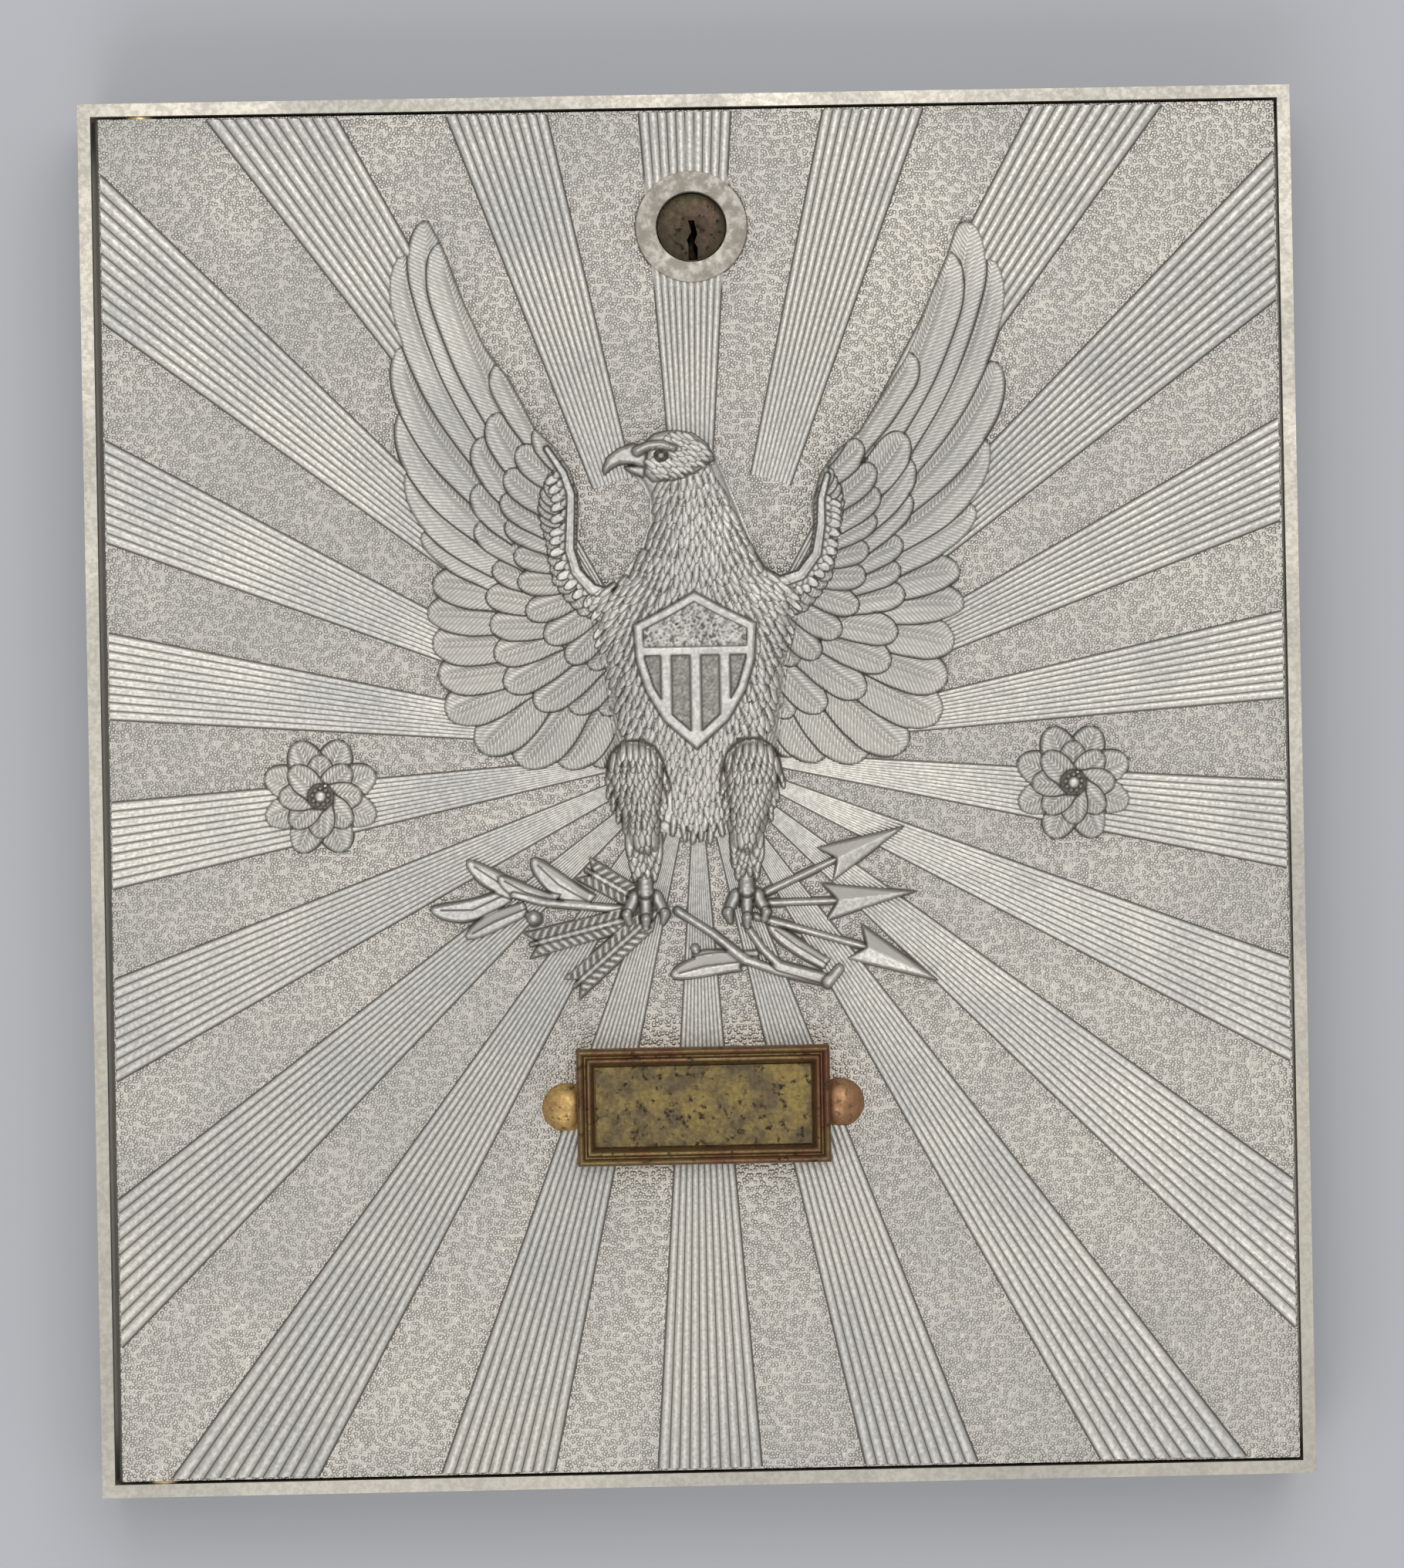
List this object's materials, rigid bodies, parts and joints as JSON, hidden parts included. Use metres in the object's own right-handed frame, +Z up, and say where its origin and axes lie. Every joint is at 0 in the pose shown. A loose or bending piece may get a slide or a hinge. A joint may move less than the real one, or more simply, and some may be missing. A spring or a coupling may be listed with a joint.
{
  "type": "post office box door",
  "caption": "Cast metal post office box door with sunburst and eagle relief, pin-tumbler lock, sliding bolt and number plate, hung on pivot pins in a shallow frame.",
  "frame": {"origin": "middle of the bounding box's underside, which is the frame's lower edge", "axes": "+X to the right as seen from in front, +Y into the box behind the door, +Z up"},
  "size_m": [0.216, 0.0332, 0.2476],
  "materials": {
    "frame_metal": "smooth cast, pale silvery, lightly worn",
    "leaf_metal": "stippled cast ground, dull silvery",
    "relief_metal": "cast relief, worn silvery high points",
    "plate_brass": "aged brass",
    "dark_brass": "dark patinated brass",
    "panel_brass": "olive patinated brass",
    "plug_brass": "dark tarnished brass",
    "lock_brass": "machined brass",
    "case_metal": "cast, dull",
    "steel": "plain steel"
  },
  "bodies": {
    "frame": {"frame": "frame_metal", "hinge_pin_upper": "steel", "hinge_pin_lower": "steel", "hinge_washers": "lock_brass"},
    "door": {"door_leaf": "leaf_metal", "sunburst_rays": "relief_metal", "eagle_relief": "relief_metal", "side_rosettes": "relief_metal", "plate_back": "plate_brass", "plate_holder": "dark_brass", "number_panel": "panel_brass", "stud_nuts": "lock_brass", "cylinder_shell": "lock_brass", "driver_pins": "steel", "driver_springs": "steel", "chamber_strip": "lock_brass", "lock_case": "case_metal", "case_cover": "case_metal", "cover_screws": "lock_brass", "lock_screws": "lock_brass"},
    "plug": {"lock_plug": "plug_brass", "key_pins": "lock_brass", "cam_disc": "steel", "cam_screw": "steel", "crank_pin": "steel"},
    "bolt": {"sliding_bolt": "lock_brass"}
  },
  "joints": [
    {"name": "door_hinge", "type": "hinge", "parent": "frame", "child": "door", "pos_m": [-0.0972, -0.00805, 0.1238], "axis": [0, 0, -1], "range_deg": [0, 100]},
    {"name": "plug_turn", "type": "hinge", "parent": "door", "child": "plug", "pos_m": [0.0008, 0, 0.224], "axis": [0, -1, 0], "range_deg": [0, 90]},
    {"name": "bolt_slide", "type": "slide", "parent": "door", "child": "bolt", "axis": [0, 0, 1], "range_m": [0, 0.0046]}
  ],
  "couplings": [
    {"joint": "plug_turn", "follows": "bolt_slide", "rad_per_m": 341.47}
  ]
}
